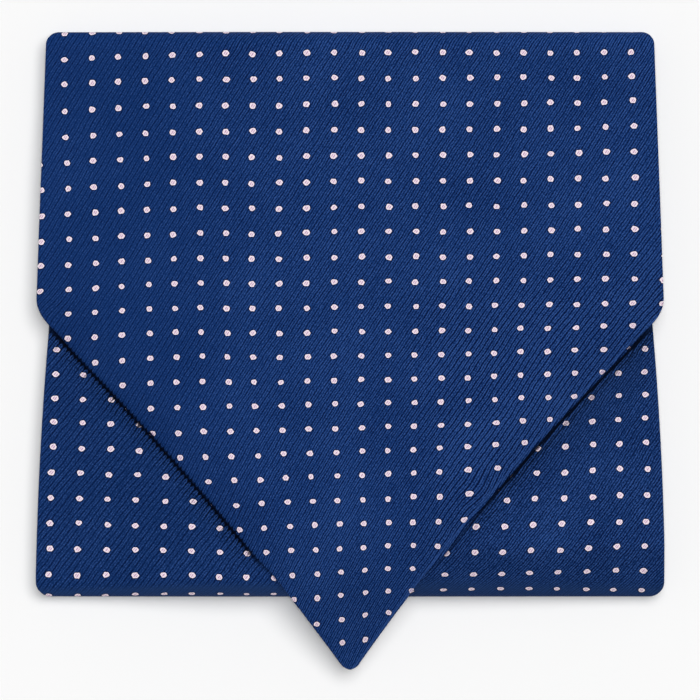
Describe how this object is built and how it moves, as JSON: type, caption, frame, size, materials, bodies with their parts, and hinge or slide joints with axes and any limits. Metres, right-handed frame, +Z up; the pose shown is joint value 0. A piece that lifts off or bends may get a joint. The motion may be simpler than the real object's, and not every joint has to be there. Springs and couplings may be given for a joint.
{
  "type": "cravat",
  "caption": "Silk day cravat with pointed blades and a pleated neckband, folded into a flat packet with one point hanging past the lower fold.",
  "frame": {"origin": "centre of the packet's footprint, on the surface that it lies on", "axes": "+X to the right across the packet seen from above, +Y from the hanging point towards the top fold, +Z up off the surface"},
  "size_m": [0.1554, 0.1575, 0.0134],
  "materials": {
    "face_silk": "navy silk twill with pale pink woven pin dots, soft sheen",
    "band_silk": "navy silk twill with pale pink woven pin dots, pressed in pleats",
    "rear_silk": "navy silk twill with pale pink woven pin dots, soft sheen"
  },
  "bodies": {
    "root": {"front_blade": "face_silk", "neckband": "band_silk", "rear_blade": "rear_silk"}
  },
  "joints": []
}
